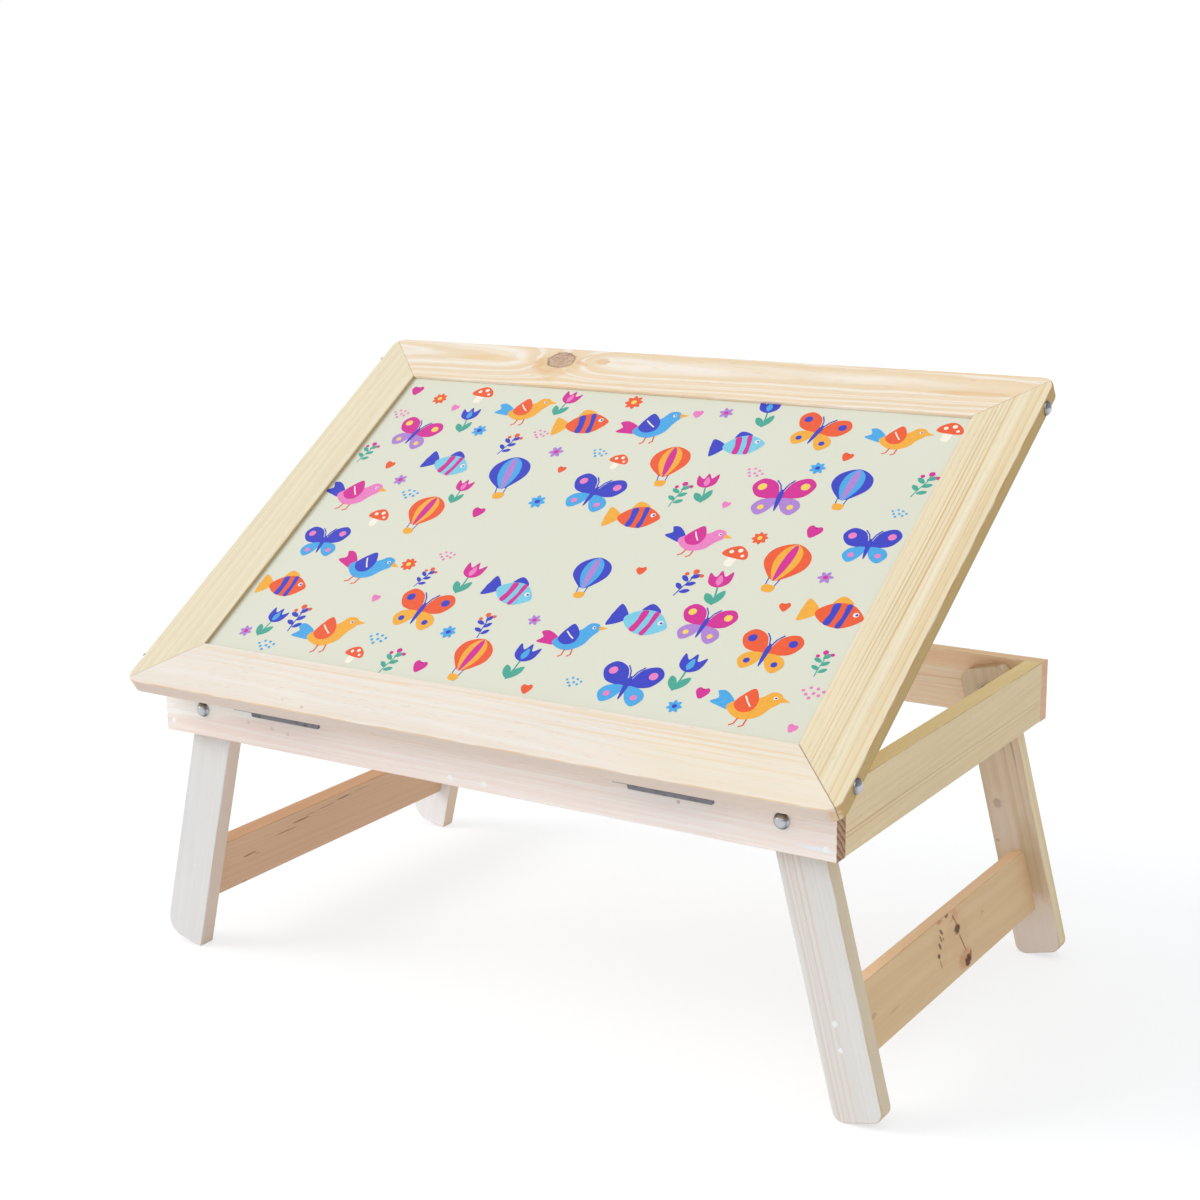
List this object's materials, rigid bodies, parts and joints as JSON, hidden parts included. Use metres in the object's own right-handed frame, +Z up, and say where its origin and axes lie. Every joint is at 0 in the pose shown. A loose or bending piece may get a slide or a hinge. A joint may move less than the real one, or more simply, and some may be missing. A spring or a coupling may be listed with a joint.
{
  "type": "folding study table",
  "caption": "Low pine study table for bed or floor: shallow box on two leg frames that fold in, with a mitred frame top round a thin panel that tilts up on a prop strut.",
  "frame": {"origin": "on the floor, under the middle of the table's bounding box", "axes": "+X to the right along the table's length, +Y from the front (hinge side) to the back, +Z up"},
  "size_m": [0.6254, 0.396, 0.4521],
  "materials": {
    "pine_top": "sanded pine, clear matt",
    "pine_box": "sanded pine, clear matt",
    "pine_legs": "sanded pine, clear matt",
    "pine_prop": "sanded pine, clear matt",
    "printed_panel": "printed hardboard, satin",
    "bolt_steel": "bright zinc plated",
    "hinge_steel": "dull zinc plated",
    "nail_steel": "plain steel"
  },
  "bodies": {
    "base": {"front_rail": "pine_box", "back_rail": "pine_box", "left_rail": "pine_box", "right_rail": "pine_box", "rail_nails": "nail_steel", "centre_slat": "pine_box", "slat_nails": "nail_steel", "left_hinge_lower_leaf": "hinge_steel", "right_hinge_lower_leaf": "hinge_steel", "left_hinge_pin": "hinge_steel", "right_hinge_pin": "hinge_steel", "lower_leaf_screws": "hinge_steel", "pivot_bolts": "bolt_steel", "spacer_washers": "bolt_steel", "nut_washers": "bolt_steel", "pivot_nuts": "bolt_steel", "prop_hinge_slat_leaf": "hinge_steel", "prop_hinge_pin": "hinge_steel", "slat_leaf_screws": "hinge_steel"},
    "top": {"top_front_board": "pine_top", "top_back_board": "pine_top", "top_left_board": "pine_top", "top_right_board": "pine_top", "top_panel": "printed_panel", "corner_screws": "bolt_steel", "left_hinge_upper_leaf": "hinge_steel", "right_hinge_upper_leaf": "hinge_steel", "upper_leaf_screws": "hinge_steel"},
    "prop": {"prop_strut": "pine_prop", "prop_hinge_strut_leaf": "hinge_steel", "strut_leaf_screws": "hinge_steel"},
    "left_leg_frame": {"left_front_leg": "pine_legs", "left_back_leg": "pine_legs", "left_stretcher": "pine_legs", "left_stretcher_nails": "nail_steel"},
    "right_leg_frame": {"right_front_leg": "pine_legs", "right_back_leg": "pine_legs", "right_stretcher": "pine_legs", "right_stretcher_nails": "nail_steel"}
  },
  "joints": [
    {"name": "top_tilt", "type": "hinge", "parent": "base", "child": "top", "pos_m": [0, -0.17159, 0.22934], "axis": [1, 0, 0], "range_deg": [-32.7, 0]},
    {"name": "prop_fold", "type": "hinge", "parent": "base", "child": "prop", "pos_m": [0, -0.01159, 0.19814], "axis": [1, 0, 0], "range_deg": [-65.4, 0]},
    {"name": "left_leg_fold", "type": "hinge", "parent": "base", "child": "left_leg_frame", "pos_m": [-0.24793, -0.16959, 0.20554], "axis": [0, -1, 0], "range_deg": [0, 104]},
    {"name": "right_leg_fold", "type": "hinge", "parent": "base", "child": "right_leg_frame", "pos_m": [0.24613, -0.16959, 0.20554], "axis": [0, 1, 0], "range_deg": [0, 104]}
  ],
  "couplings": [
    {"joint": "prop_fold", "follows": "top_tilt", "ratio": 2}
  ]
}
